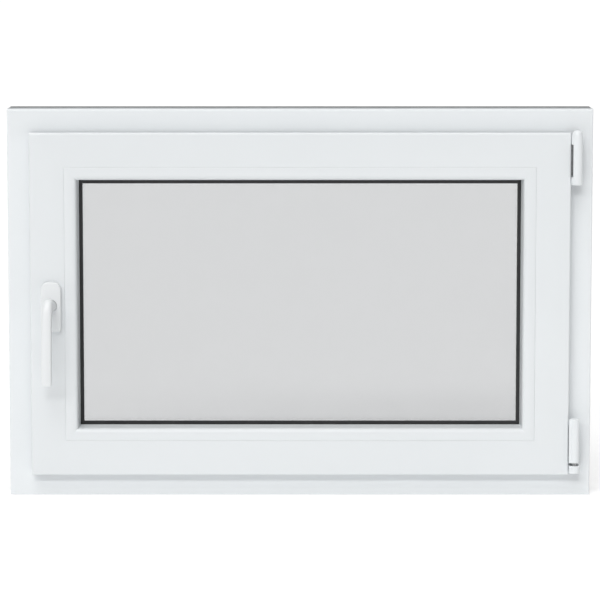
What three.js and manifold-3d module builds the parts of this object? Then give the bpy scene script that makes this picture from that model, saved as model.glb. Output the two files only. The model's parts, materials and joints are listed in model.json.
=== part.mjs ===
import * as THREE from 'three';
import { mergeVertices } from 'three/addons/utils/BufferGeometryUtils.js';
import Module from 'manifold-3d';

// Inward-opening tilt-and-turn casement window, hinged on the right as seen
// from the room.  Millimetres.  +X right, +Z up, the room is on the -Y side.
// The origin is the centre of the outer frame's bottom face.

// ---- driving dimensions ---------------------------------------------------
const W = 900;            // outer frame width
const H = 600;            // outer frame height
const DEPTH = 70;         // outer frame depth
const YR = -DEPTH / 2;    // room face of the outer frame
const YE = DEPTH / 2;     // exterior face of the outer frame
const REBATE = 44;        // frame edge to rebate floor
const STOP = 66;          // frame edge to the lip of the exterior stop
const Y_STOP = 14;        // room side of the exterior stop
const OVERLAP = 35.5;     // frame edge to the outer edge of the sash overlap
const SASH = 56;          // frame edge to the sash body in the rebate
const Y_SASH = -57;       // room face of the sash
const Y_LAP = -38;        // rear of the sash overlap
const Y_BACK = 11;        // exterior face of the sash
const BEAD = 88.6;        // frame edge to the bead joint
const SIGHT = 109;        // frame edge to the glass sight line
const Y_GLASS = -26;      // room face of the insulating glass
const PANE = 4;           // thickness of each pane
const CAVITY = 16;        // gas space between the panes
const MITRE = 0.12;       // clearance at a mitre, along the member
const HINGE_X = 423.5;    // vertical hinge axis
const HINGE_Y = -57;
const TILT_Z = 52;        // height of the horizontal tilt axis
const HANDLE_X = -382;    // handle axis
const HANDLE_Z = 300;
const Y_HW = -21;         // centre line of the hardware groove

const wasm = await Module();
wasm.setup();

// ---- helpers --------------------------------------------------------------
const r4 = (v) => Math.round(v * 1e4) / 1e4;
const group = new THREE.Group();
group.name = 'casement_window';

function volume(g) {
  const p = g.attributes.position, ix = g.index;
  const n = ix ? ix.count : p.count;
  const a = new THREE.Vector3(), b = new THREE.Vector3(), c = new THREE.Vector3();
  let v = 0;
  for (let i = 0; i < n; i += 3) {
    const k = ix ? [ix.getX(i), ix.getX(i + 1), ix.getX(i + 2)] : [i, i + 1, i + 2];
    a.fromBufferAttribute(p, k[0]); b.fromBufferAttribute(p, k[1]); c.fromBufferAttribute(p, k[2]);
    v += a.dot(b.cross(c)) / 6;
  }
  return v;
}

// shared corners joined, flat slivers dropped, faces turned outwards
function clean(src) {
  let g = new THREE.BufferGeometry();
  const p = src.attributes.position;
  const pos = new Float32Array(p.count * 3);
  for (let i = 0; i < p.count; i++) {
    pos[3 * i] = r4(p.getX(i)); pos[3 * i + 1] = r4(p.getY(i)); pos[3 * i + 2] = r4(p.getZ(i));
  }
  g.setAttribute('position', new THREE.BufferAttribute(pos, 3));
  if (src.index) g.setIndex(Array.from(src.index.array));
  g = mergeVertices(g, 1e-3);
  const ix = g.index.array, keep = [];
  const flip = volume(g) < 0;
  for (let i = 0; i < ix.length; i += 3) {
    const [a, b, c] = [ix[i], ix[i + 1], ix[i + 2]];
    if (a === b || b === c || a === c) continue;
    keep.push(...(flip ? [a, c, b] : [a, b, c]));
  }
  g.setIndex(keep);
  return g;
}

function toSolid(src) {
  const g = clean(src);
  return new wasm.Manifold(new wasm.Mesh({
    numProp: 3,
    vertProperties: new Float32Array(g.attributes.position.array),
    triVerts: new Uint32Array(g.index.array),
  }));
}

function fromSolid(m) {
  const k = m.getMesh();
  const g = new THREE.BufferGeometry();
  const pos = new Float32Array((k.vertProperties.length / k.numProp) * 3);
  for (let i = 0; i < pos.length / 3; i++) {
    for (let j = 0; j < 3; j++) pos[3 * i + j] = k.vertProperties[i * k.numProp + j];
  }
  g.setAttribute('position', new THREE.BufferAttribute(pos, 3));
  g.setIndex(Array.from(k.triVerts));
  return g;
}

const join = (...g) => fromSolid(g.map(toSolid).reduce((a, b) => a.add(b)));
const cut = (base, ...tools) => fromSolid(tools.map(toSolid).reduce((a, b) => a.subtract(b), toSolid(base)));

const finish = {
  pvc: { color: 0xe9ecee, roughness: 0.35, metalness: 0 },
  bead: { color: 0xe8ebed, roughness: 0.35, metalness: 0 },
  steel: { color: 0x9a9da0, roughness: 0.4, metalness: 1 },
  zinc: { color: 0xb4b7ba, roughness: 0.35, metalness: 1 },
  cap: { color: 0xe7eaec, roughness: 0.35, metalness: 0 },
  rubber: { color: 0x1b1c1e, roughness: 0.8, metalness: 0 },
  glass: { color: 0xd5dad9, roughness: 0.02, metalness: 0 },
  spacer: { color: 0x8c8f92, roughness: 0.45, metalness: 1 },
  block: { color: 0x3f6f9c, roughness: 0.6, metalness: 0 },
  dark: { color: 0x3c4145, roughness: 0.5, metalness: 0 },
  handle: { color: 0xeceeef, roughness: 0.3, metalness: 0 },
};

function add(name, geometry, kind) {
  const g = clean(geometry).toNonIndexed();
  g.computeVertexNormals();
  const m = new THREE.Mesh(g, new THREE.MeshStandardMaterial({ ...finish[kind] }));
  m.name = name;
  group.add(m);
  return m;
}

function shape(pts, holes = []) {
  const s = new THREE.Shape(pts.map(([a, b]) => new THREE.Vector2(a, b)));
  for (const h of holes) s.holes.push(new THREE.Path(h.map(([a, b]) => new THREE.Vector2(a, b))));
  return s;
}

const rect = (a0, a1, b0, b1) => [[a0, b0], [a1, b0], [a1, b1], [a0, b1]];

// a polygon with some corners rounded: each entry is [a, b, radius, segments]
function rounded(list) {
  const out = [];
  const n = list.length;
  for (let i = 0; i < n; i++) {
    const [x, y, r = 0, seg = 3] = list[i];
    if (!r) { out.push([x, y]); continue; }
    const p = list[(i + n - 1) % n], q = list[(i + 1) % n];
    const d1 = new THREE.Vector2(p[0] - x, p[1] - y).normalize();
    const d2 = new THREE.Vector2(q[0] - x, q[1] - y).normalize();
    const half = Math.acos(THREE.MathUtils.clamp(d1.dot(d2), -1, 1)) / 2;
    const t = r / Math.tan(half);
    const bis = d1.clone().add(d2).normalize().multiplyScalar(r / Math.sin(half));
    const c = new THREE.Vector2(x, y).add(bis);
    const a = new THREE.Vector2(x, y).addScaledVector(d1, t).sub(c);
    const b = new THREE.Vector2(x, y).addScaledVector(d2, t).sub(c);
    const a0 = Math.atan2(a.y, a.x);
    let da = Math.atan2(b.y, b.x) - a0;
    while (da > Math.PI) da -= 2 * Math.PI;
    while (da < -Math.PI) da += 2 * Math.PI;
    for (let k = 0; k <= seg; k++) {
      out.push([c.x + r * Math.cos(a0 + (da * k) / seg), c.y + r * Math.sin(a0 + (da * k) / seg)]);
    }
  }
  return out;
}

// profile (u, y) with u measured inwards from the frame's outer edge, run
// along one side of the window; t = 0..1 along the member
function alongSide(geo, side, endOf) {
  const p = geo.attributes.position;
  for (let i = 0; i < p.count; i++) {
    const u = p.getX(i), y = p.getY(i), t = p.getZ(i) * 2 - 1;
    const half = side === 'top' || side === 'bottom' ? W / 2 : H / 2;
    const a = (half - endOf(u)) * t;
    if (side === 'bottom') p.setXYZ(i, a, y, u);
    if (side === 'top') p.setXYZ(i, a, y, H - u);
    if (side === 'left') p.setXYZ(i, -W / 2 + u, y, H / 2 + a);
    if (side === 'right') p.setXYZ(i, W / 2 - u, y, H / 2 + a);
  }
  return clean(geo);
}

function bar(pts, holes = []) {
  return new THREE.ExtrudeGeometry(shape(pts, holes), { depth: 1, steps: 1, bevelEnabled: false, curveSegments: 1 });
}

const mitred = (side, pts, holes) => alongSide(bar(pts, holes), side, (u) => u + MITRE);
const squared = (side, pts, inset) => alongSide(bar(pts), side, () => inset);

// closed rectangular ring with mitred corners, swept from a (u, y) profile
function ring(pts) {
  const R = 300;
  const prof = [...pts, pts[0]].map(([u, y]) => new THREE.Vector2(R - u, y));
  const g = new THREE.LatheGeometry(prof, 4, Math.PI / 4);
  const p = g.attributes.position;
  for (let i = 0; i < p.count; i++) {
    const x = p.getX(i), y = p.getY(i), z = p.getZ(i);
    const u = R - Math.hypot(x, z);
    p.setXYZ(i, Math.sign(x) * (W / 2 - u), y, H / 2 + Math.sign(z) * (H / 2 - u));
  }
  return clean(g);
}

const box = (x0, x1, y0, y1, z0, z1) => new THREE.BoxGeometry(x1 - x0, y1 - y0, z1 - z0)
  .translate((x0 + x1) / 2, (y0 + y1) / 2, (z0 + z1) / 2);

// round bar along Z, Y or X
const rodZ = (x, y, z0, z1, r, n = 24) => new THREE.CylinderGeometry(r, r, z1 - z0, n)
  .rotateX(Math.PI / 2).translate(x, y, (z0 + z1) / 2);
const rodY = (x, z, y0, y1, r, n = 24) => new THREE.CylinderGeometry(r, r, y1 - y0, n)
  .translate(x, (y0 + y1) / 2, z);
const rodX = (y, z, x0, x1, r, n = 24) => new THREE.CylinderGeometry(r, r, x1 - x0, n)
  .rotateZ(Math.PI / 2).translate((x0 + x1) / 2, y, z);

// plan outline (x, y) raised from z0 to z1
const plan = (pts, z0, z1, holes = []) => new THREE.ExtrudeGeometry(shape(pts, holes), {
  depth: z1 - z0, steps: 1, bevelEnabled: false, curveSegments: 1,
}).translate(0, 0, z0);

// turned piece about the vertical line through (x, y)
const turned = (x, y, prof, n = 24) => new THREE.LatheGeometry(prof.map(([r, z]) => new THREE.Vector2(r, z)), n)
  .rotateX(Math.PI / 2).translate(x, y, 0);

const SIDES = [['bottom', 'sill'], ['top', 'head'], ['left', 'jamb_left'], ['right', 'jamb_right']];
const SASHES = [['bottom', 'rail_bottom'], ['top', 'rail_top'], ['left', 'stile_left'], ['right', 'stile_right']];

// ---- outer frame ----------------------------------------------------------
const frameProfile = rounded([
  [0, YR, 2.5, 3], [REBATE, YR, 1, 1], [REBATE, Y_STOP], [STOP, Y_STOP, 1, 1],
  [STOP, YE, 1.5, 2], [0, YE, 1, 1],
]);
const frameChambers = [
  rect(3, 41, -32, -20), rect(3, 41, -18.4, 9.8), rect(3, 41, 11.4, 32), rect(42.6, 63, 17, 32),
];
for (const [side, name] of SIDES) {
  let g = mitred(side, frameProfile, frameChambers);
  if (side === 'bottom') {
    // water slots through the exterior wall, behind the drain caps
    g = cut(g, box(-262, -238, 30, 37, 20, 25), box(238, 262, 30, 37, 20, 25));
  }
  add(`frame_${name}`, g, 'pvc');
}
const frameSteel = [
  [6, -17.5], [38, -17.5], [38, 8.9], [6, 8.9], [6, 7.4], [36.5, 7.4], [36.5, -16], [6, -16],
];
for (const [side, name] of SIDES) add(`frame_steel_${name}`, squared(side, frameSteel, 72), 'steel');
add('frame_gasket', ring([[58.2, 11.3], [61, 11.25], [63.8, 11.5], [64.4, 13.7], [57.6, 13.7]]), 'rubber');

function drainCap(x) {
  return cut(
    join(box(x - 21, x + 21, YE + 0.3, YE + 2.2, 14, 30), box(x - 19, x + 19, YE + 2.0, YE + 4.6, 17, 29)),
    box(x - 16, x + 16, YE + 1.8, YE + 3.6, 13, 26),
  );
}
add('drain_cap_left', drainCap(-250), 'dark');
add('drain_cap_right', drainCap(250), 'dark');

// strike plates on the rebate floor: base strip with two low lips
const strikeProfile = [[44.3, -33], [46.6, -33], [46.6, -30], [45.8, -30], [45.8, -12], [46.6, -12], [46.6, -9], [44.3, -9]];
function lengthOf(profile, side, centre, length) {
  const g = bar(profile);
  const p = g.attributes.position;
  for (let i = 0; i < p.count; i++) {
    const u = p.getX(i), y = p.getY(i), a = centre + (p.getZ(i) - 0.5) * length;
    if (side === 'left') p.setXYZ(i, -W / 2 + u, y, a);
    if (side === 'right') p.setXYZ(i, W / 2 - u, y, a);
    if (side === 'top') p.setXYZ(i, a, y, H - u);
    if (side === 'bottom') p.setXYZ(i, a, y, u);
  }
  return clean(g);
}
const strike = (side, centre, length) => lengthOf(strikeProfile, side, centre, length);
add('strike_plate_left_lower', strike('left', 150, 60), 'zinc');
add('strike_plate_left_upper', strike('left', 440, 60), 'zinc');
add('strike_plate_head', strike('top', -180, 60), 'zinc');
add('strike_plate_sill', strike('bottom', -180, 60), 'zinc');

// ---- upper hinge, frame side ---------------------------------------------
const hx = HINGE_X, hy = HINGE_Y;
const knuckle = (z0, z1) => cut(
  join(rodZ(hx, hy, z0, z1, 5.2, 24), box(hx - 3.6, hx + 4, hy + 1, hy + 19.4, z0, z1)),
  rodZ(hx, hy, z0 - 1, z1 + 1, 2.4, 16),
);
add('upper_hinge_bearing', join(
  knuckle(488, 496), knuckle(548.5, 562),
  box(hx + 1, hx + 4, hy + 6.4, hy + 21.7, 488, 562),
  box(hx + 0.5, hx + 7.4, hy + 19.3, hy + 21.7, 487, 564),
), 'zinc');
add('upper_hinge_pin', turned(hx, hy, [
  [0, 486.6], [1.6, 486.6], [2.0, 487.2], [2.0, 562.4], [3.2, 562.4], [3.2, 562.9], [2.6, 563.3], [0, 563.3],
], 16), 'zinc');
add('upper_hinge_cap', cut(
  join(
    turned(hx, hy, [
      [0, 485], [6.9, 485], [7.7, 485.4], [8.0, 486.2], [8.0, 560], [7.6, 563.5], [6.4, 566.2], [4.4, 567.8], [2, 568.5], [0, 568.6],
    ], 40),
    // two short fins close the gap to the sash edge above and below the opening
    box(hx - 8.7, hx - 6.9, hy - 1.4, hy + 0.9, 485.6, 496.6),
    box(hx - 8.7, hx - 6.9, hy - 1.4, hy + 0.9, 547.4, 562.5),
  ),
  rodZ(hx, hy, 480, 563.8, 6.6, 32),
  box(hx - 4.4, hx + 4.9, hy + 2, hy + 12, 480, 563.8),
  plan([[hx, hy], [hx - 10, hy - 7.54], [hx - 14, hy], [hx - 14, hy + 14], [hx, hy + 14]], 497, 547),
), 'cap');

// ---- lower hinge, frame side ---------------------------------------------
const uShape = (r, n, back, x0 = hx) => {
  const pts = [[x0 + r, hy + back]];
  for (let k = 0; k <= n; k++) {
    const a = -(Math.PI * k) / n;
    pts.push([x0 + r * Math.cos(a), hy + r * Math.sin(a)]);
  }
  pts.push([x0 - r, hy + back]);
  return pts;
};
add('lower_hinge_bearing', cut(
  plan(uShape(5.6, 14, 21.7), 39, 48.6), rodZ(hx, hy, 42, 50, 3.5, 20),
), 'zinc');
add('lower_hinge_bearing_cap', plan(
  [...uShape(8.5, 20, 21.5), ...uShape(5.95, 20, 21.5).reverse()], 38.4, 50.2,
), 'cap');

// ---- swivel pin: turns in the bearing, its ball carries the sash -----------
add('lower_hinge_swivel_pin', turned(hx, hy, [
  [0, 42.3], [2.6, 42.3], [3.2, 42.9], [3.2, 52], [2.96, 53.2], [2.26, 54.26], [1.22, 54.96], [0, 55.2],
], 20), 'zinc');

// ---- stay arm in the head rebate ------------------------------------------
add('stay_arm', cut(
  join(
    rodZ(hx, hy, 499, 545, 5.0, 24),
    plan([
      [hx - 2.4, hy + 2], [hx, hy + 2], [hx, hy + 21.7], [hx - 19.4, hy + 21.7],
      [hx - 19.4, hy + 48], [hx - 21.8, hy + 48], [hx - 21.8, hy + 19.3], [hx - 2.4, hy + 19.3],
    ], 499, 545),
    box(hx - 21.8, hx - 19.4, hy + 24, hy + 56, 520, 552.5),
    plan(rounded([
      [hx - 19.4, hy + 44], [hx - 19.4, hy + 56], [133, hy + 56, 5.9, 4], [133, hy + 44, 5.9, 4],
    ]), 549.5, 552.5),
  ),
  rodZ(hx, hy, 498, 546, 2.4, 16),
), 'zinc');

// ---- sash ------------------------------------------------------------------
const sashProfile = rounded([
  [OVERLAP, Y_SASH, 2.2, 3], [BEAD - 0.5, Y_SASH, 1.6, 2], [BEAD - 0.5, 1], [SIGHT - 0.5, 1, 1, 1],
  [SIGHT - 0.5, Y_BACK, 1.5, 2], [SASH, Y_BACK, 1, 1], [SASH, Y_LAP], [OVERLAP, Y_LAP, 1, 1],
]);
const sashChambers = [
  rect(38.5, 85.3, -54.2, -41), rect(58.8, 85.3, -39.6, -8), rect(58.8, 85.3, -6.5, 8.2), rect(88.2, 105.8, 3.8, 8.2),
];
const sashSteel = [
  [60, -38.7], [84.4, -38.7], [84.4, -8.9], [60, -8.9], [60, -10.4], [82.9, -10.4], [82.9, -37.2], [60, -37.2],
];
const LATCH_HOLES = [HANDLE_Z - 21.5, HANDLE_Z + 21.5];
const handleBores = () => [
  rodY(HANDLE_X, HANDLE_Z, -62, -30, 8.2, 20),
  ...LATCH_HOLES.map((z) => rodY(HANDLE_X, z, -62, -30, 3.0, 12)),
];
for (const [side, name] of SASHES) {
  let g = mitred(side, sashProfile, sashChambers);
  if (side === 'left') {
    g = cut(g, ...handleBores(), box(-396, -384, -29.2, -12.8, 260, 340));
  }
  add(`sash_${name}`, g, 'pvc');
}
for (const [side, name] of SASHES) {
  let g = squared(side, sashSteel, 122);
  if (side === 'left') g = cut(g, ...handleBores());
  add(`sash_steel_${name}`, g, 'steel');
}

// ---- glazing ---------------------------------------------------------------
const beadProfile = rounded([
  [BEAD, -55.2], [BEAD + 1, -56.6], [BEAD + 3, -57.4], [BEAD + 6.4, -57.6], [BEAD + 11, -57.2],
  [BEAD + 14.6, -55.9], [BEAD + 17.2, -53.2], [BEAD + 18.8, -49], [SIGHT - 1, -40], [SIGHT, -29.3],
  [SIGHT - 3, -29.3], [SIGHT - 5, -31], [BEAD + 4, -31], [BEAD + 4, -36], [BEAD, -36],
]);
for (const [side, name] of SASHES) {
  add(`glazing_bead_${name.replace('rail_', '').replace('stile_', '')}`, mitred(side, beadProfile), 'bead');
}
const EDGE = 93.5;
const Y1 = Y_GLASS + PANE, Y2 = Y1 + CAVITY, Y3 = Y2 + PANE;
add('glass_pane_inner', box(-W / 2 + EDGE, W / 2 - EDGE, Y_GLASS, Y1, EDGE, H - EDGE), 'glass');
add('glass_pane_outer', box(-W / 2 + EDGE, W / 2 - EDGE, Y2, Y3, EDGE, H - EDGE), 'glass');
add('glass_spacer', ring([[99.8, Y1 + 0.2], [107.2, Y1 + 0.2], [107.2, Y2 - 0.2], [99.8, Y2 - 0.2]]), 'spacer');
add('glass_edge_seal', ring([[EDGE + 0.3, Y1 + 0.2], [99.5, Y1 + 0.2], [99.5, Y2 - 0.2], [EDGE + 0.3, Y2 - 0.2]]), 'rubber');
add('glazing_gasket_inner', ring([
  [104.4, -26.3], [104.4, -28.2], [106.4, -29.0], [108.6, -29.0], [113.2, -28.5], [114.9, -27.3], [115.2, -26.3],
]), 'rubber');
add('glazing_gasket_outer', ring([
  [100, -1.7], [109.6, -1.7], [109.9, -0.6], [109.2, 0.7], [100, 0.7],
]), 'rubber');
// overlap gasket: the hinge parts pass through it, so it is in two lengths
const lapGasket = [[39.4, -37.7], [43.6, -37.7], [43.2, -36.7], [41.4, -36.4], [39.8, -36.7]];
add('sash_gasket', cut(ring(lapGasket), box(404, 413, -40, -34, 57, 548)), 'rubber');
add('sash_gasket_hinge_side', lengthOf(lapGasket, 'right', 304.5, 380), 'rubber');

const block = (x, z0, z1) => box(x - 40, x + 40, -27, -0.6, z0, z1);
add('setting_block_bottom_left', block(-270, BEAD - 0.2, EDGE - 0.3), 'block');
add('setting_block_bottom_right', block(270, BEAD - 0.2, EDGE - 0.3), 'block');
add('setting_block_top_left', block(-270, H - EDGE + 0.3, H - BEAD + 0.2), 'block');

// ---- sash hardware ---------------------------------------------------------
add('lower_hinge_strap', cut(
  join(
    rodZ(hx, hy, 54.2, 112, 5.4, 24),
    plan([
      [hx - 5.2, hy], [hx - 2.8, hy], [hx - 2.8, hy + 21.7], [hx - 26.8, hy + 21.7],
      [hx - 26.8, hy + 60], [hx - 29.2, hy + 60], [hx - 29.2, hy + 19.3], [hx - 5.2, hy + 19.3],
    ], 60, 110),
  ),
  rodZ(hx, hy, 50, 58, 4.4, 20),
), 'zinc');
add('lower_hinge_cover', cut(
  join(
    turned(hx, hy, [
      [0, 54.4], [6.8, 54.4], [7.2, 54.7], [7.3, 55.2], [7.3, 121.2], [7.0, 122.4], [6.3, 123.1], [5, 123.3], [0, 123.4],
    ], 40),
    box(hx - 8.8, hx - 4.4, hy - 4.6, hy - 2.2, 54.5, 122.6),
  ),
  rodZ(hx, hy, 50, 113, 5.8, 32),
  box(hx - 5.7, hx - 2.3, hy + 2, hy + 10, 50, 113),
), 'cap');

add('gearbox_case', cut(
  box(-393.4, -371.5, -28.4, -13.6, 264, 336),
  rodY(HANDLE_X, HANDLE_Z, -40, 0, 9.3, 28),
  ...LATCH_HOLES.map((z) => rodY(HANDLE_X, z, -40, -12, 2.7, 12)),
), 'zinc');

const bent = (sz) => {
  // L-shaped corner drive housing lying in the rebate gap around a left corner
  const z = (v) => (sz > 0 ? H - v : v);
  return join(
    box(-W / 2 + 53.2, -W / 2 + 55.7, Y_HW - 8, Y_HW + 8, Math.min(z(53.2), z(100)), Math.max(z(53.2), z(100))),
    box(-W / 2 + 53.2, -W / 2 + 112, Y_HW - 8, Y_HW + 8, Math.min(z(53.2), z(55.7)), Math.max(z(53.2), z(55.7))),
  );
};
add('corner_drive_top', bent(1), 'zinc');
add('corner_drive_bottom', bent(-1), 'zinc');

// ---- drive rods ------------------------------------------------------------
const cam = (x, y, z, axis) => {
  // stud and mushroom head standing on a rod, towards the frame
  const s = [[0, 0.8], [3, 0.8], [3, -2.4], [4.6, -2.9], [4.6, -4.1], [3.8, -4.6], [0, -4.6]];
  const g = new THREE.LatheGeometry(s.map(([r, h]) => new THREE.Vector2(r, h)), 16);
  if (axis === 'left') g.rotateZ(-Math.PI / 2);
  if (axis === 'top') g.rotateX(-Math.PI / 2);
  if (axis === 'bottom') g.rotateX(Math.PI / 2);
  return g.translate(x, y, z);
};
const U_ROD = 53.1;
add('drive_rod_left', join(
  box(-W / 2 + U_ROD, -W / 2 + 55.6, Y_HW - 6, Y_HW + 6, 104, 456),
  cam(-W / 2 + U_ROD, Y_HW, 140, 'left'), cam(-W / 2 + U_ROD, Y_HW, 430, 'left'),
), 'zinc');
add('drive_rod_top', join(
  box(-333, 60, Y_HW - 6, Y_HW + 6, H - 55.6, H - U_ROD),
  cam(-190, Y_HW, H - U_ROD, 'top'),
), 'zinc');
add('drive_rod_bottom', join(
  box(-297, 60, Y_HW - 6, Y_HW + 6, U_ROD, 55.6),
  cam(-170, Y_HW, U_ROD, 'bottom'),
), 'zinc');

// ---- handle ----------------------------------------------------------------
// arched plate outline in the x-z plane, centred on the handle axis
function plateOutline(halfW, zTop, zBottom, rTop, rBottom, segTop, segBottom) {
  return rounded([
    [HANDLE_X - halfW, zBottom, rBottom, segBottom], [HANDLE_X + halfW, zBottom, rBottom, segBottom],
    [HANDLE_X + halfW, zTop, rTop, segTop], [HANDLE_X - halfW, zTop, rTop, segTop],
  ]);
}
const slab = (outline, y0, y1, bevel = 0) => {
  const g = new THREE.ExtrudeGeometry(shape(outline), {
    depth: y1 - y0 - bevel, steps: 1, curveSegments: 1,
    bevelEnabled: bevel > 0, bevelSize: bevel, bevelOffset: -bevel, bevelThickness: bevel, bevelSegments: 3,
  });
  g.rotateX(Math.PI / 2);             // outline (x, z), depth towards -Y
  return g.translate(0, y1, 0);
};
const Y_ROSE = Y_SASH - 0.3;
add('handle_rosette', cut(
  slab(plateOutline(15.6, 336.5, 259.5, 13, 3.2, 9, 4), Y_ROSE - 10, Y_ROSE + 2.4, 2.4),
  box(-410, -350, Y_ROSE, Y_ROSE + 6, 250, 350),
  slab(plateOutline(13.8, 334.5, 261.5, 11.5, 2.4, 6, 3), Y_ROSE - 7.6, Y_ROSE + 1),
  rodY(HANDLE_X, HANDLE_Z, -80, -50, 9.5, 28),
), 'handle');
add('handle_rosette_base', cut(
  slab(plateOutline(13.4, 334, 262, 11, 2.2, 6, 3), Y_ROSE - 3.6, Y_ROSE - 0.2),
  rodY(HANDLE_X, HANDLE_Z, -80, -50, 9.5, 24),
  ...LATCH_HOLES.map((z) => rodY(HANDLE_X, z, -80, -50, 2.8, 12)),
), 'steel');
LATCH_HOLES.forEach((z, i) => add(`handle_screw_${i ? 'upper' : 'lower'}`, new THREE.LatheGeometry([
  [0, -17.5], [1.4, -17.8], [2.3, -19.2], [2.3, -61.2], [4.3, -61.2], [4.3, -62.6], [3.2, -63.9], [0, -64.2],
].map(([r, y]) => new THREE.Vector2(r, y)), 14).translate(HANDLE_X, 0, z), 'steel'));

// bowed lever: a loft from a round neck into a flattened grip. Each station has its outer and
// inner edge in the y-z plane, its half width across x, its shift in x and its corner fullness.
const LEVER = [
  [-58.2, 309, -58.2, 291, 9, 0, 2], [-76, 309, -76, 291, 9, 0, 2],
  [-82.5, 310.8, -80.8, 291.2, 8.9, -0.3, 2.1], [-88.5, 313.2, -83.6, 290.6, 8.6, -0.8, 2.3],
  [-95, 312.6, -86.6, 289.6, 8.3, -1.4, 2.5], [-100.6, 308.8, -89.2, 287.6, 8.1, -2, 2.7],
  [-104.6, 302.2, -91.4, 284.6, 8, -2.5, 2.9], [-107.2, 293, -93.4, 279.8, 7.9, -2.9, 3],
  [-108.8, 280, -95.2, 272, 7.9, -3.2, 3], [-109.8, 262, -96.8, 258.5, 7.9, -3.4, 3],
  [-109.6, 240, -97.4, 240, 7.9, -3.7, 3], [-108.2, 218, -96.6, 219.5, 7.9, -3.9, 3],
  [-106.2, 200, -95.4, 202, 7.8, -4.1, 3.2], [-104.4, 188, -94.4, 189.6, 7.7, -4.2, 3.4],
  [-103.6, 183.6, -94.3, 184.4, 7.5, -4.2, 3.4], [-102.6, 181.4, -94.9, 181.9, 7, -4.2, 3.2],
  [-101.2, 180.5, -96.2, 180.7, 6, -4.2, 3],
];
const lever = (() => {
  const n = 20, pos = [], idx = [], sign = Math.sign;
  for (const [y0, z0, y1, z1, half, shift, full] of LEVER) {
    for (let i = 0; i < n; i++) {
      const a = (i / n) * 2 * Math.PI, c = Math.cos(a), s = Math.sin(a);
      const u = sign(c) * Math.abs(c) ** (2 / full), v = sign(s) * Math.abs(s) ** (2 / full);
      pos.push(HANDLE_X + shift + u * half, (y0 + y1) / 2 + (v * (y0 - y1)) / 2, (z0 + z1) / 2 + (v * (z0 - z1)) / 2);
    }
  }
  const rows = LEVER.length;
  for (let k = 0; k < rows - 1; k++) {
    for (let i = 0; i < n; i++) {
      const j = (i + 1) % n, a = k * n + i, b = k * n + j, c = (k + 1) * n + j, d = (k + 1) * n + i;
      idx.push(a, b, c, a, c, d);
    }
  }
  for (let i = 1; i < n - 1; i++) {
    idx.push(0, i + 1, i);
    idx.push((rows - 1) * n, (rows - 1) * n + i, (rows - 1) * n + i + 1);
  }
  const g = new THREE.BufferGeometry();
  g.setAttribute('position', new THREE.Float32BufferAttribute(pos, 3));
  g.setIndex(idx);
  return g;
})();
add('handle_grip', cut(
  lever,
  rodY(HANDLE_X, HANDLE_Z, -75, -50, 5.3, 20),
), 'handle');
add('handle_spindle', box(HANDLE_X - 3.5, HANDLE_X + 3.5, -74.6, -14, HANDLE_Z - 3.5, HANDLE_Z + 3.5), 'steel');
const gear = (() => {
  const pts = [], n = 14;
  for (let i = 0; i < n; i++) {
    for (const [f, r] of [[-0.25, 7.0], [-0.12, 8.7], [0.12, 8.7], [0.25, 7.0]]) {
      const a = ((i + f) / n) * 2 * Math.PI;
      pts.push([HANDLE_X + r * Math.cos(a), HANDLE_Z + r * Math.sin(a)]);
    }
  }
  const hole = rect(HANDLE_X - 3.7, HANDLE_X + 3.7, HANDLE_Z - 3.7, HANDLE_Z + 3.7);
  const g = new THREE.ExtrudeGeometry(shape(pts, [hole]), { depth: 9, steps: 1, bevelEnabled: false, curveSegments: 1 });
  return g.rotateX(Math.PI / 2).translate(0, -16.5, 0);
})();
add('gear_pinion', gear, 'steel');

export default group;
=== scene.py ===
import json
import math

import bmesh
import bpy
from mathutils import Matrix, Vector


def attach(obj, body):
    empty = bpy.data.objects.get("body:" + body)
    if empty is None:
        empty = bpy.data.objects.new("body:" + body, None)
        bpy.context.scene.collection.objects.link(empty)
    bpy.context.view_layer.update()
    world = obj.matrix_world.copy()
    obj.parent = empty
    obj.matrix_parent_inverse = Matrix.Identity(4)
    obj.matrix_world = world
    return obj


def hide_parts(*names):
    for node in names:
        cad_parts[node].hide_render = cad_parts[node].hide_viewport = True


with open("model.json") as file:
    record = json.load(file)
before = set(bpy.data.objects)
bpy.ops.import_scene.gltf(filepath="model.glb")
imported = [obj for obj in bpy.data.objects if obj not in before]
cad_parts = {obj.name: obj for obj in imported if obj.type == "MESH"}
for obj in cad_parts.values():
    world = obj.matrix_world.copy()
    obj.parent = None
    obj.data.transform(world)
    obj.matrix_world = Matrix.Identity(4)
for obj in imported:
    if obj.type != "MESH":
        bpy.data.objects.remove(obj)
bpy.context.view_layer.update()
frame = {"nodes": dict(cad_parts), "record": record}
NODES = frame["nodes"]
MM = 0.001

# ---------------------------------------------------------------------------
# sizes shared with the CAD model, in millimetres
W, H = 900.0, 600.0
YR, YE = -35.0, 35.0
REBATE, STOP, Y_STOP = 44.0, 66.0, 14.0
OVERLAP, SASH = 35.5, 56.0
Y_SASH, Y_LAP, Y_BACK = -57.0, -38.0, 11.0
BEAD, SIGHT = 88.6, 109.0
HINGE_X, HINGE_Y = 423.5, -57.0
HANDLE_X, HANDLE_Z = -382.0, 300.0


# camera and light levels
CAM_DIST, CAM_Z, CAM_PITCH, CAM_F, CAM_SHIFT = 4.2, 0.850, 5.89, 2743.0, -0.12
SKY, SKY_LEFT, SKY_TOP, SKY_FRONT, KEY, GLOW = 0.05, 0.06, 1.30, 0.0, 1.18, 0.50

UPPER = 0.55

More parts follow.
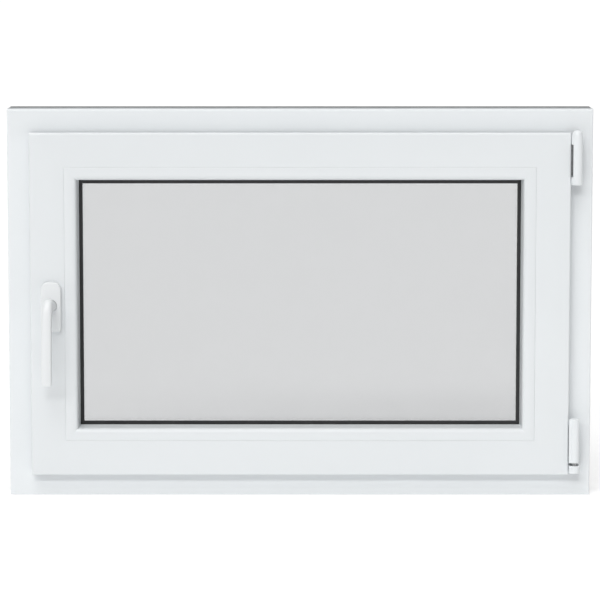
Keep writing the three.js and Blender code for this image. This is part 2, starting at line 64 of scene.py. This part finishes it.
# ---------------------------------------------------------------------------
# materials
def new_material(name):
    m = bpy.data.materials.new(name)
    m.use_nodes = True
    nt = m.node_tree
    for n in list(nt.nodes):
        nt.nodes.remove(n)
    out = nt.nodes.new("ShaderNodeOutputMaterial")
    bsdf = nt.nodes.new("ShaderNodeBsdfPrincipled")
    nt.links.new(bsdf.outputs["BSDF"], out.inputs["Surface"])
    return m, nt, bsdf


def coords(nt, scale=(1, 1, 1)):
    tc = nt.nodes.new("ShaderNodeTexCoord")
    mp = nt.nodes.new("ShaderNodeMapping")
    mp.inputs["Scale"].default_value = scale
    nt.links.new(tc.outputs["Object"], mp.inputs["Vector"])
    return tc, mp


def noise(nt, vec, scale, detail=3.0, rough=0.5):
    n = nt.nodes.new("ShaderNodeTexNoise")
    n.inputs["Scale"].default_value = scale
    n.inputs["Detail"].default_value = detail
    n.inputs["Roughness"].default_value = rough
    nt.links.new(vec, n.inputs["Vector"])
    return n


def ramp(nt, fac, stops):
    r = nt.nodes.new("ShaderNodeValToRGB")
    e = r.color_ramp.elements
    while len(e) < len(stops):
        e.new(0.5)
    for el, (p, c) in zip(e, stops):
        el.position = p
        el.color = (*c, 1.0) if len(c) == 3 else c
    nt.links.new(fac, r.inputs["Fac"])
    return r


def map_range(nt, val, a, b, c, d):
    n = nt.nodes.new("ShaderNodeMapRange")
    n.inputs["From Min"].default_value = a
    n.inputs["From Max"].default_value = b
    n.inputs["To Min"].default_value = c
    n.inputs["To Max"].default_value = d
    nt.links.new(val, n.inputs["Value"])
    return n


def bump(nt, height, strength, distance, bsdf):
    b = nt.nodes.new("ShaderNodeBump")
    b.inputs["Strength"].default_value = strength
    b.inputs["Distance"].default_value = distance
    nt.links.new(height, b.inputs["Height"])
    nt.links.new(b.outputs["Normal"], bsdf.inputs["Normal"])
    return b


def mix_colour(nt, fac, a, b):
    m = nt.nodes.new("ShaderNodeMix")
    m.data_type = "RGBA"
    if hasattr(fac, "is_linked") or hasattr(fac, "node"):
        nt.links.new(fac, m.inputs[0])
    else:
        m.inputs[0].default_value = fac
    for sock, v in ((m.inputs[6], a), (m.inputs[7], b)):
        if hasattr(v, "node"):
            nt.links.new(v, sock)
        else:
            sock.default_value = (*v, 1.0)
    return m.outputs[2]


WHITE_A = (0.800, 0.829, 0.848)
WHITE_B = (0.786, 0.815, 0.834)
FOIL_A = (0.040, 0.046, 0.050)
FOIL_B = (0.028, 0.033, 0.037)


def pvc(name, foil_from=None, rough=0.32, a=WHITE_A, b=WHITE_B):
    """White window PVC; behind the plane y = foil_from it carries a dark embossed foil."""
    m, nt, bsdf = new_material(name)
    tc, mp = coords(nt)
    broad = noise(nt, mp.outputs["Vector"], 6.0, 2.0)
    fine = noise(nt, mp.outputs["Vector"], 900.0, 2.0)
    white = ramp(nt, broad.outputs["Fac"], [(0.3, a), (0.7, b)])
    rg = map_range(nt, broad.outputs["Fac"], 0.3, 0.7, rough - 0.04, rough + 0.05)
    bsdf.inputs["IOR"].default_value = 1.5
    if foil_from is None:
        nt.links.new(white.outputs["Color"], bsdf.inputs["Base Color"])
        nt.links.new(rg.outputs["Result"], bsdf.inputs["Roughness"])
        bump(nt, fine.outputs["Fac"], 0.05, 0.00005, bsdf)
        return m
    sep = nt.nodes.new("ShaderNodeSeparateXYZ")
    nt.links.new(tc.outputs["Object"], sep.inputs["Vector"])
    side = map_range(nt, sep.outputs["Y"], foil_from - 0.00005, foil_from + 0.00005, 0.0, 1.0)
    # grain runs along the member: stretched noise in both lengthwise directions
    tc2, mpx = coords(nt, (8, 300, 300))
    _, mpz = coords(nt, (300, 300, 8))
    gx = noise(nt, mpx.outputs["Vector"], 1.0, 6.0, 0.65)
    gz = noise(nt, mpz.outputs["Vector"], 1.0, 6.0, 0.65)
    absx = nt.nodes.new("ShaderNodeMath"); absx.operation = "ABSOLUTE"
    nt.links.new(sep.outputs["X"], absx.inputs[0])
    zc = nt.nodes.new("ShaderNodeMath"); zc.operation = "SUBTRACT"; zc.inputs[1].default_value = 0.3
    nt.links.new(sep.outputs["Z"], zc.inputs[0])
    absz = nt.nodes.new("ShaderNodeMath"); absz.operation = "ABSOLUTE"
    nt.links.new(zc.outputs[0], absz.inputs[0])
    zz = nt.nodes.new("ShaderNodeMath"); zz.operation = "ADD"; zz.inputs[1].default_value = 0.15
    nt.links.new(absz.outputs[0], zz.inputs[0])
    upright = nt.nodes.new("ShaderNodeMath"); upright.operation = "GREATER_THAN"
    nt.links.new(absx.outputs[0], upright.inputs[0])
    nt.links.new(zz.outputs[0], upright.inputs[1])
    grain = nt.nodes.new("ShaderNodeMix"); grain.data_type = "FLOAT"
    nt.links.new(upright.outputs[0], grain.inputs[0])
    nt.links.new(gx.outputs["Fac"], grain.inputs[2])
    nt.links.new(gz.outputs["Fac"], grain.inputs[3])
    foil = ramp(nt, grain.outputs[0], [(0.35, FOIL_B), (0.65, FOIL_A)])
    col = mix_colour(nt, side.outputs["Result"], white.outputs["Color"], foil.outputs["Color"])
    nt.links.new(col, bsdf.inputs["Base Color"])
    rmix = nt.nodes.new("ShaderNodeMix"); rmix.data_type = "FLOAT"
    nt.links.new(side.outputs["Result"], rmix.inputs[0])
    nt.links.new(rg.outputs["Result"], rmix.inputs[2])
    rmix.inputs[3].default_value = 0.48
    nt.links.new(rmix.outputs[0], bsdf.inputs["Roughness"])
    hmix = nt.nodes.new("ShaderNodeMix"); hmix.data_type = "FLOAT"
    nt.links.new(side.outputs["Result"], hmix.inputs[0])
    soft = nt.nodes.new("ShaderNodeMath"); soft.operation = "MULTIPLY"; soft.inputs[1].default_value = 0.08
    nt.links.new(fine.outputs["Fac"], soft.inputs[0])
    nt.links.new(soft.outputs[0], hmix.inputs[2])
    nt.links.new(grain.outputs[0], hmix.inputs[3])
    bump(nt, hmix.outputs[0], 0.35, 0.0001, bsdf)
    return m


def simple(name, a, b, rough, metallic=0.0, scale=60.0, bump_scale=600.0, bump_strength=0.1,
           bump_distance=0.00005, stretch=(1, 1, 1), spread=0.06):
    m, nt, bsdf = new_material(name)
    _, mp = coords(nt, stretch)
    n1 = noise(nt, mp.outputs["Vector"], scale, 4.0)
    n2 = noise(nt, mp.outputs["Vector"], bump_scale, 2.0)
    c = ramp(nt, n1.outputs["Fac"], [(0.35, a), (0.65, b)])
    nt.links.new(c.outputs["Color"], bsdf.inputs["Base Color"])
    r = map_range(nt, n1.outputs["Fac"], 0.3, 0.7, rough - spread, rough + spread)
    nt.links.new(r.outputs["Result"], bsdf.inputs["Roughness"])
    bsdf.inputs["Metallic"].default_value = metallic
    bump(nt, n2.outputs["Fac"], bump_strength, bump_distance, bsdf)
    return m


def glass(name):
    m, nt, bsdf = new_material(name)
    _, mp = coords(nt)
    n = noise(nt, mp.outputs["Vector"], 1.6, 1.0)
    c = ramp(nt, n.outputs["Fac"], [(0.3, GLASS_TINT), (0.7, tuple(v * 1.006 for v in GLASS_TINT))])
    nt.links.new(c.outputs["Color"], bsdf.inputs["Base Color"])
    bsdf.inputs["Roughness"].default_value = 0.0
    bsdf.inputs["IOR"].default_value = 1.45
    bsdf.inputs["Transmission Weight"].default_value = 1.0
    return m


GLASS_TINT = (0.779, 0.784, 0.789)

M_FRAME = pvc("frame_pvc", foil_from=0.006)
SASH_A, SASH_B = (0.766, 0.794, 0.812), (0.753, 0.781, 0.799)
M_SASH = pvc("sash_pvc", foil_from=0.0005, a=SASH_A, b=SASH_B)
M_BEAD = pvc("bead_pvc", a=SASH_A, b=SASH_B)
M_CAP = pvc("cap_plastic", rough=0.3)
M_HANDLE = pvc("handle_coating", rough=0.3, a=(0.795, 0.815, 0.828), b=(0.783, 0.804, 0.817))
M_RUBBER = simple("gasket_rubber", (0.010, 0.011, 0.012), (0.016, 0.017, 0.018), 0.55, scale=40, bump_scale=1500)
M_SEAL = simple("edge_sealant", (0.012, 0.012, 0.013), (0.020, 0.020, 0.021), 0.65, scale=50)
M_SPACER = simple("spacer_aluminium", (0.16, 0.165, 0.17), (0.20, 0.205, 0.21), 0.42, 0.6, scale=120, bump_scale=900)
M_STEEL = simple("hardware_steel", (0.60, 0.61, 0.62), (0.50, 0.51, 0.52), 0.34, 1.0, scale=90, bump_scale=700,
                 stretch=(1, 1, 3))
M_GALV = simple("reinforcement_steel", (0.50, 0.51, 0.52), (0.40, 0.41, 0.42), 0.45, 1.0, scale=70)
M_INNER = simple("inner_steel", (0.46, 0.46, 0.47), (0.36, 0.36, 0.37), 0.4, 1.0, scale=90)
M_DARK = simple("drain_plastic", (0.036, 0.041, 0.045), (0.028, 0.032, 0.036), 0.5, scale=60)
M_BLOCK = simple("block_plastic", (0.05, 0.15, 0.30), (0.04, 0.13, 0.27), 0.5, scale=60)
M_GLASS = glass("clear_glass")

SLOT_MATERIAL = {
    "frame_pvc": M_FRAME, "sash_pvc": M_SASH, "bead_pvc": M_BEAD, "cap_plastic": M_CAP,
    "handle_coating": M_HANDLE, "gasket_rubber": M_RUBBER, "edge_sealant": M_SEAL,
    "spacer_aluminium": M_SPACER, "hardware_steel": M_STEEL, "reinforcement_steel": M_GALV,
    "inner_steel": M_INNER, "drain_plastic": M_DARK, "block_plastic": M_BLOCK, "clear_glass": M_GLASS,
}
NODE_SLOT = {s["node"]: s["material_slot"] for s in frame["record"]["subparts"]}
NODE_BODY = {n: b for b, ns in frame["record"]["behaviour"]["bodies"].items() for n in ns}

for name, ob in NODES.items():
    mat = SLOT_MATERIAL[NODE_SLOT[name]]
    if not ob.material_slots:
        ob.data.materials.append(mat)
    for s in ob.material_slots:
        s.link = "OBJECT"
        s.material = mat


# ---------------------------------------------------------------------------
# mesh helpers
def link(ob):
    bpy.context.scene.collection.objects.link(ob)
    return ob


def finish_piece(ob, node, material=None, angle=32.0):
    """Shades the piece, gives it the node's finish, and lets it stand for the node."""
    me = ob.data
    me.materials.clear()
    me.materials.append(material or SLOT_MATERIAL[NODE_SLOT[node]])
    for p in me.polygons:
        p.use_smooth = True
    me.set_sharp_from_angle(angle=math.radians(angle))
    me.update()
    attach(ob, NODE_BODY[node])
    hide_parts(node)
    return ob


def from_bmesh(name, bm):
    bmesh.ops.recalc_face_normals(bm, faces=bm.faces)
    me = bpy.data.meshes.new(name)
    bm.to_mesh(me)
    bm.free()
    return link(bpy.data.objects.new(name, me))


def rounded(points, default_seg=8):
    """Polygon with rounded corners: each point is (a, b, radius[, segments])."""
    out = []
    n = len(points)
    for i, pt in enumerate(points):
        x, y = pt[0], pt[1]
        r = pt[2] if len(pt) > 2 else 0.0
        seg = pt[3] if len(pt) > 3 else default_seg
        if not r:
            out.append((x, y))
            continue
        p, q = points[i - 1], points[(i + 1) % n]
        c = Vector((x, y))
        d1 = (Vector((p[0], p[1])) - c).normalized()
        d2 = (Vector((q[0], q[1])) - c).normalized()
        half = math.acos(max(-1, min(1, d1.dot(d2)))) / 2
        t = r / math.tan(half)
        centre = c + (d1 + d2).normalized() * (r / math.sin(half))
        a = c + d1 * t - centre
        b = c + d2 * t - centre
        a0 = math.atan2(a.y, a.x)
        da = math.atan2(b.y, b.x) - a0
        while da > math.pi:
            da -= 2 * math.pi
        while da < -math.pi:
            da += 2 * math.pi
        for k in range(seg + 1):
            an = a0 + da * k / seg
            out.append((centre.x + r * math.cos(an), centre.y + r * math.sin(an)))
    return out


def smooth_curve(points, steps=5):
    """Catmull-Rom through an open list of points of any dimension."""
    out = []
    n = len(points)
    for i in range(n - 1):
        p0, p1, p2, p3 = points[max(i - 1, 0)], points[i], points[i + 1], points[min(i + 2, n - 1)]
        for k in range(steps):
            t = k / steps
            out.append(tuple(0.5 * (2 * b + (c - a) * t + (2 * a - 5 * b + 4 * c - d) * t * t
                                    + (3 * b - a - 3 * c + d) * t ** 3) for a, b, c, d in zip(p0, p1, p2, p3)))
    out.append(tuple(points[-1]))
    return out


def place(side, u, y, s):
    """(u, y) of a profile to a point, s = -1 or 1 at the two mitred ends."""
    if side in ("bottom", "top"):
        x = s * (W / 2 - u)
        z = u if side == "bottom" else H - u
    else:
        z = H / 2 + s * (H / 2 - u)
        x = -W / 2 + u if side == "left" else W / 2 - u
    return Vector((x * MM, y * MM, z * MM))


def member(name, side, outline, chambers=()):
    bm = bmesh.new()
    rings = []
    for loop in [outline, *chambers]:
        a = [bm.verts.new(place(side, u, y, -1)) for u, y in loop]
        b = [bm.verts.new(place(side, u, y, 1)) for u, y in loop]
        n = len(loop)
        for i in range(n):
            j = (i + 1) % n
            bm.faces.new((a[i], a[j], b[j], b[i]))
        rings.append((a, b))
    for end in (0, 1):
        edges = []
        for r in rings:
            v = r[end]
            for i in range(len(v)):
                e = bm.edges.get((v[i], v[(i + 1) % len(v)]))
                edges.append(e)
        bmesh.ops.triangle_fill(bm, edges=edges, use_beauty=True, use_dissolve=False)
    return from_bmesh(name, bm)


def refine(node, bevel=0.0, segments=2, angle=30.0, smooth_angle=35.0, material=None):
    """The CAD node's own shape with softened edges and smooth shading."""
    src = NODES[node]
    me = src.data.copy()
    me.name = node + "_shape"
    ob = link(bpy.data.objects.new(node + "_shape", me))
    bm = bmesh.new()
    bm.from_mesh(me)
    bmesh.ops.remove_doubles(bm, verts=bm.verts, dist=2e-6)
    bmesh.ops.dissolve_limit(bm, angle_limit=math.radians(1.0), verts=bm.verts, edges=bm.edges)
    bm.to_mesh(me)
    bm.free()
    if bevel:
        md = ob.modifiers.new("edge", "BEVEL")
        md.width = bevel
        md.segments = segments
        md.limit_method = "ANGLE"
        md.angle_limit = math.radians(angle)
        md.harden_normals = False
    return finish_piece(ob, node, material, smooth_angle)


SIDES = [("bottom", "sill"), ("top", "head"), ("left", "jamb_left"), ("right", "jamb_right")]
SASHES = [("bottom", "rail_bottom"), ("top", "rail_top"), ("left", "stile_left"), ("right", "stile_right")]


def box_loop(a0, a1, b0, b1):
    return [(a0, b0), (a1, b0), (a1, b1), (a0, b1)]


# ---------------------------------------------------------------------------
# outer frame
frame_profile = rounded([
    (0, YR, 2.6, 8), (REBATE, YR, 1.2, 4), (REBATE, Y_STOP, 0.6, 3), (STOP, Y_STOP, 1.0, 4),
    (STOP, YE, 2.0, 6), (0, YE, 1.2, 4),
])
frame_chambers = [
    box_loop(3, 41, -32, -20), box_loop(3, 41, -18.4, 9.8), box_loop(3, 41, 11.4, 32), box_loop(42.6, 63, 17, 32),
]
for side, nm in SIDES:
    finish_piece(member("window_" + nm, side, frame_profile, frame_chambers), "frame_" + nm)

# ---------------------------------------------------------------------------
# sash
sash_profile = rounded([
    (OVERLAP, Y_SASH, 2.4, 8), (BEAD - 0.12, Y_SASH, 0.35, 4), (BEAD - 0.12, 1), (SIGHT - 0.5, 1, 1.0, 4),
    (SIGHT - 0.5, Y_BACK, 2.0, 6), (SASH, Y_BACK, 1.2, 4), (SASH, Y_LAP, 0.5, 2), (OVERLAP, Y_LAP, 1.0, 4),
])
sash_chambers = [
    box_loop(38.5, 85.3, -54.2, -41), box_loop(58.8, 85.3, -39.6, -8), box_loop(58.8, 85.3, -6.5, 8.2),
    box_loop(88.2, 105.8, 3.8, 8.2),
]
for side, nm in SASHES:
    finish_piece(member("window_" + nm, side, sash_profile, sash_chambers), "sash_" + nm)

# glazing beads: a gently crowned face that turns over into the reveal
crown = smooth_curve([
    (BEAD, -56.8), (BEAD + 0.5, -57.15), (BEAD + 2.5, -57.45), (BEAD + 6.0, -57.65), (BEAD + 10.0, -57.6),
    (BEAD + 13.8, -57.2), (BEAD + 16.4, -56.2), (BEAD + 18.2, -54.2), (BEAD + 19.1, -51.2), (BEAD + 19.5, -46),
    (SIGHT - 0.4, -37), (SIGHT + 0.6, -29.4),
], 6)
bead_profile = crown + [(SIGHT - 2, -29.4), (SIGHT - 5, -31), (BEAD + 4, -31), (BEAD + 4, -36), (BEAD, -36)]
for side, nm in SASHES:
    short = nm.replace("rail_", "").replace("stile_", "")
    finish_piece(member("bead_" + short, side, bead_profile), "glazing_bead_" + short, angle=40)

# ---------------------------------------------------------------------------
# hinges, drain caps, hardware
for n in ("upper_hinge_cap", "lower_hinge_cover", "lower_hinge_bearing_cap"):
    refine(n, bevel=0.00035, segments=3, angle=38)
for n in ("upper_hinge_bearing", "upper_hinge_pin", "lower_hinge_bearing", "lower_hinge_swivel_pin", "stay_arm",
          "lower_hinge_strap"):
    refine(n, bevel=0.0002, segments=2, angle=38)
for n in ("drain_cap_left", "drain_cap_right", "strike_plate_left_lower", "strike_plate_left_upper",
          "strike_plate_head", "strike_plate_sill", "corner_drive_top", "corner_drive_bottom",
          "drive_rod_left", "drive_rod_top", "drive_rod_bottom"):
    refine(n, bevel=0.0003, segments=2, angle=38)
for n in ("glazing_gasket_inner", "glazing_gasket_outer", "frame_gasket", "glass_spacer"):
    refine(n, bevel=0.0, smooth_angle=45)

refine("handle_rosette", bevel=0.0, smooth_angle=60)

# lever: outer and inner edge (y, z), half width, shift in x and corner fullness at each station
LEVER = [
    (-58.2, 309, -58.2, 291, 9, 0, 2), (-76, 309, -76, 291, 9, 0, 2),
    (-82.5, 310.8, -80.8, 291.2, 8.9, -0.3, 2.1), (-88.5, 313.2, -83.6, 290.6, 8.6, -0.8, 2.3),
    (-95, 312.6, -86.6, 289.6, 8.3, -1.4, 2.5), (-100.6, 308.8, -89.2, 287.6, 8.1, -2, 2.7),
    (-104.6, 302.2, -91.4, 284.6, 8, -2.5, 2.9), (-107.2, 293, -93.4, 279.8, 7.9, -2.9, 3),
    (-108.8, 280, -95.2, 272, 7.9, -3.2, 3), (-109.8, 262, -96.8, 258.5, 7.9, -3.4, 3),
    (-109.6, 240, -97.4, 240, 7.9, -3.7, 3), (-108.2, 218, -96.6, 219.5, 7.9, -3.9, 3),
    (-106.2, 200, -95.4, 202, 7.8, -4.1, 3.2), (-104.4, 188, -94.4, 189.6, 7.7, -4.2, 3.4),
    (-103.6, 183.6, -94.3, 184.4, 7.5, -4.2, 3.4), (-102.6, 181.4, -94.9, 181.9, 7, -4.2, 3.2),
    (-101.2, 180.5, -96.2, 180.7, 6, -4.2, 3),
]


def lever_mesh():
    fine = smooth_curve(LEVER[1:], 4)
    fine = [LEVER[0], *fine]
    n = 48
    bm = bmesh.new()
    rows = []
    for y0, z0, y1, z1, half, shift, full in fine:
        row = []
        for i in range(n):
            t = 2 * math.pi * i / n
            c, d = math.cos(t), math.sin(t)
            u = math.copysign(abs(c) ** (2 / full), c)
            v = math.copysign(abs(d) ** (2 / full), d)
            y = max((y0 + y1) / 2 + v * (y0 - y1) / 2, -109.78)
            row.append(bm.verts.new(((HANDLE_X + shift + u * half) * MM, y * MM,
                                     ((z0 + z1) / 2 + v * (z0 - z1) / 2) * MM)))
        rows.append(row)
    for r, q in zip(rows, rows[1:]):
        for i in range(n):
            j = (i + 1) % n
            bm.faces.new((r[i], r[j], q[j], q[i]))
    # socket for the spindle in the end of the neck
    inner = []
    for y in (-58.2, -73.0):
        inner.append([bm.verts.new(((HANDLE_X + 5.3 * math.cos(2 * math.pi * i / n)) * MM, y * MM,
                                    (HANDLE_Z + 5.3 * math.sin(2 * math.pi * i / n)) * MM)) for i in range(n)])
    for i in range(n):
        j = (i + 1) % n
        bm.faces.new((rows[0][i], rows[0][j], inner[0][j], inner[0][i]))
        bm.faces.new((inner[0][i], inner[0][j], inner[1][j], inner[1][i]))
    bm.faces.new(inner[1])
    bm.faces.new(rows[-1])
    return from_bmesh("lever", bm)


finish_piece(lever_mesh(), "handle_grip", angle=55)

# ---------------------------------------------------------------------------
# floor, light, camera
def plane(name, size, loc, mat):
    bm = bmesh.new()
    bmesh.ops.create_grid(bm, x_segments=8, y_segments=8, size=size / 2)
    me = bpy.data.meshes.new(name)
    bm.to_mesh(me)
    bm.free()
    ob = link(bpy.data.objects.new(name, me))
    ob.location = loc
    me.materials.append(mat)
    return ob


m_floor, nt, bs = new_material("floor_pale")
_, mp = coords(nt)
nz = noise(nt, mp.outputs["Vector"], 3.0, 2.0)
cr = ramp(nt, nz.outputs["Fac"], [(0.3, (0.60, 0.60, 0.60)), (0.7, (0.61, 0.61, 0.61))])
nt.links.new(cr.outputs["Color"], bs.inputs["Base Color"])
bs.inputs["Roughness"].default_value = 0.9
bs.inputs["Specular IOR Level"].default_value = 0.0
bs.inputs["Emission Color"].default_value = (1, 1, 1, 1)
bs.inputs["Emission Strength"].default_value = GLOW
plane("floor", 60.0, (0, 0, -0.0005), m_floor)

# soft studio light: a dim even surround, a large soft panel overhead and a little more from the left
world = bpy.data.worlds.new("studio")
bpy.context.scene.world = world
world.use_nodes = True
wn = world.node_tree
bg = wn.nodes["Background"]
wc = wn.nodes.new("ShaderNodeTexCoord")
ws = wn.nodes.new("ShaderNodeSeparateXYZ")
wn.links.new(wc.outputs["Generated"], ws.inputs["Vector"])


def sky_part(sock, lo, hi, top):
    n = wn.nodes.new("ShaderNodeMapRange")
    n.interpolation_type = "SMOOTHSTEP"
    n.inputs["From Min"].default_value = lo
    n.inputs["From Max"].default_value = hi
    n.inputs["To Min"].default_value = 0.0
    n.inputs["To Max"].default_value = top
    wn.links.new(sock, n.inputs["Value"])
    return n.outputs["Result"]


def sky_sum(a, b):
    n = wn.nodes.new("ShaderNodeMath")
    n.operation = "ADD"
    wn.links.new(a, n.inputs[0])
    if hasattr(b, "node"):
        wn.links.new(b, n.inputs[1])
    else:
        n.inputs[1].default_value = b
    return n.outputs[0]


amount = sky_sum(sky_part(ws.outputs["Z"], 0.55, 0.95, SKY_TOP), SKY)
amount = sky_sum(amount, sky_part(ws.outputs["X"], -0.1, -1.0, SKY_LEFT))
amount = sky_sum(amount, sky_part(ws.outputs["Y"], -0.1, -1.0, SKY_FRONT))
seen = wn.nodes.new("ShaderNodeLightPath")
pick = wn.nodes.new("ShaderNodeMix")
pick.data_type = "FLOAT"
direct = wn.nodes.new("ShaderNodeMath")
direct.operation = "MAXIMUM"
wn.links.new(seen.outputs["Is Camera Ray"], direct.inputs[0])
wn.links.new(seen.outputs["Is Transmission Ray"], direct.inputs[1])
wn.links.new(direct.outputs[0], pick.inputs[0])
wn.links.new(amount, pick.inputs[2])
pick.inputs[3].default_value = 1.05
wn.links.new(pick.outputs[0], bg.inputs["Strength"])
bg.inputs["Color"].default_value = (1, 1, 1, 1)


# the key light: a panel above the front, wide from left to right and low, as a row of soft suns
SPREAD = (-0.06, 0.12, 0.31, 0.52, 0.78)
PANELS = [(f"key_{i}", KEY / len(SPREAD), 10.0, (slope, 1.0, -0.66)) for i, slope in enumerate(SPREAD)]
PANELS.append(("upper", UPPER, 22.0, (0.15, 0.55, -0.85)))
for name, energy, size, towards in PANELS:
    sun = bpy.data.lights.new(name, "SUN")
    sun.energy = energy
    sun.angle = math.radians(size)
    sun.color = (1.0, 0.995, 0.985)
    sun_ob = link(bpy.data.objects.new(name, sun))
    sun_ob.rotation_mode = "QUATERNION"
    sun_ob.rotation_quaternion = Vector(towards).to_track_quat("-Z", "Y")

scene = bpy.context.scene
scene.view_settings.view_transform = "Standard"

cam_data = bpy.data.cameras.new("camera")
cam = link(bpy.data.objects.new("camera", cam_data))
cam_data.sensor_width = 36.0
cam_data.lens = CAM_F * 36.0 / 600.0
cam_data.shift_y = CAM_SHIFT
cam.location = (0.0, -0.035 - CAM_DIST, CAM_Z)
cam.rotation_euler = (math.radians(90 - CAM_PITCH), 0, 0)
cam_data.clip_end = 100
scene.camera = cam
